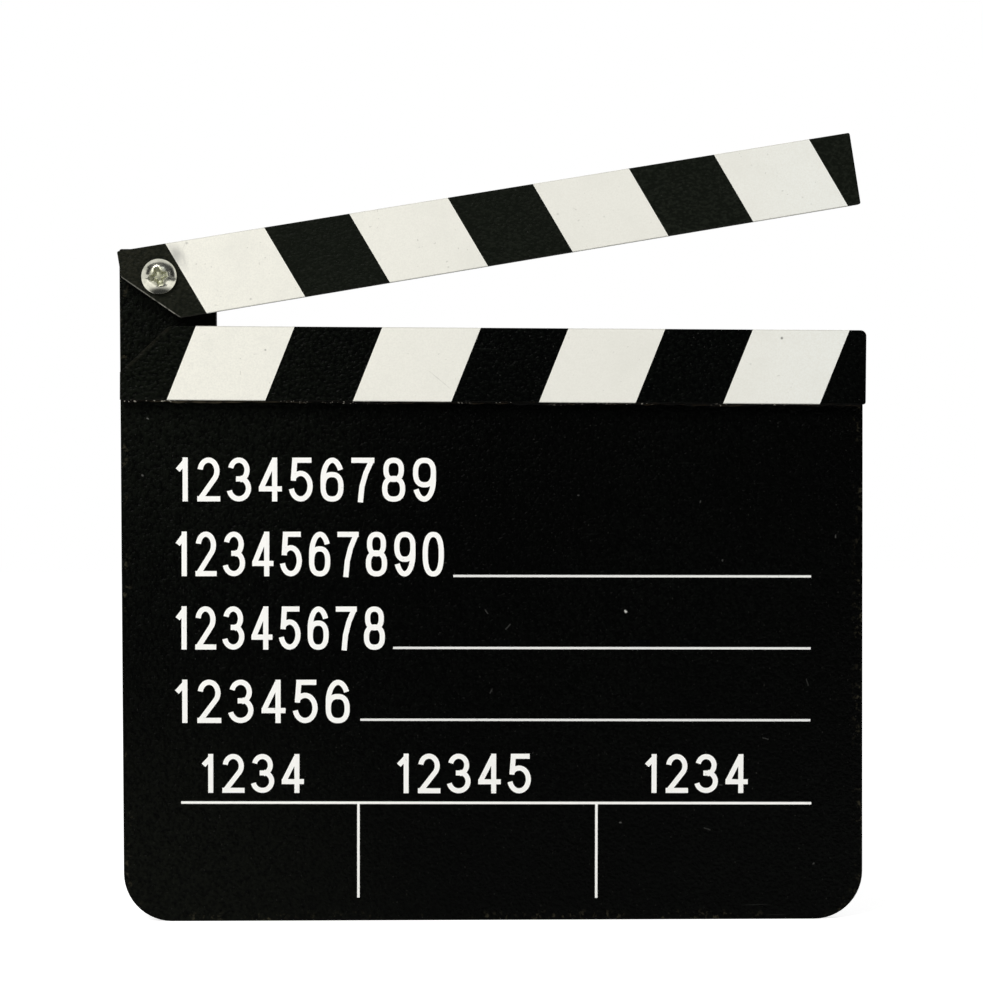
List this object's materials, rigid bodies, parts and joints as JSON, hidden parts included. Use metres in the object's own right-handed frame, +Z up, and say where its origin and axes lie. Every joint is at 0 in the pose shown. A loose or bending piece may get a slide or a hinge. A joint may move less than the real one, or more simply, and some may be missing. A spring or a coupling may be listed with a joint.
{
  "type": "clapperboard",
  "caption": "Flat black clapperboard with a ruled slate, a fixed striped clapstick and a striped clapstick that swings on a pivot screw at the left.",
  "frame": {"origin": "middle of the slate's bottom edge, half way through the slate's thickness", "axes": "+X along the sticks away from the pivot, -Y out of the printed front, +Z up the slate"},
  "size_m": [0.2005, 0.0209, 0.212],
  "materials": {
    "slate_paint": "satin black paint on fibreboard",
    "stick_paint": "satin black paint on fibreboard",
    "white_ink": "screen-printed off-white ink",
    "nickel_steel": "nickel-plated steel",
    "zinc_steel": "zinc-plated steel",
    "nylon": "natural nylon"
  },
  "bodies": {
    "slate": {"slate_board": "slate_paint", "fixed_clapstick": "stick_paint", "pivot_screw": "nickel_steel", "pivot_spacer_washer": "zinc_steel", "rear_washer": "zinc_steel", "lock_nut": "zinc_steel", "lock_nut_insert": "nylon", "rule_line_1": "white_ink", "rule_line_2": "white_ink", "rule_line_3": "white_ink", "grid_bar": "white_ink", "grid_divider_1": "white_ink", "grid_divider_2": "white_ink", "fixed_stripe_1": "white_ink", "fixed_stripe_2": "white_ink", "fixed_stripe_3": "white_ink", "fixed_stripe_4": "white_ink"},
    "swing_arm": {"swing_clapstick": "stick_paint", "swing_stripe_1": "white_ink", "swing_stripe_2": "white_ink", "swing_stripe_3": "white_ink", "swing_stripe_4": "white_ink"}
  },
  "joints": [
    {"name": "clapper_hinge", "type": "hinge", "parent": "slate", "child": "swing_arm", "pos_m": [-0.0888, 0, 0.1743], "axis": [0, -1, 0], "range_deg": [-10.2, 219.5]}
  ]
}
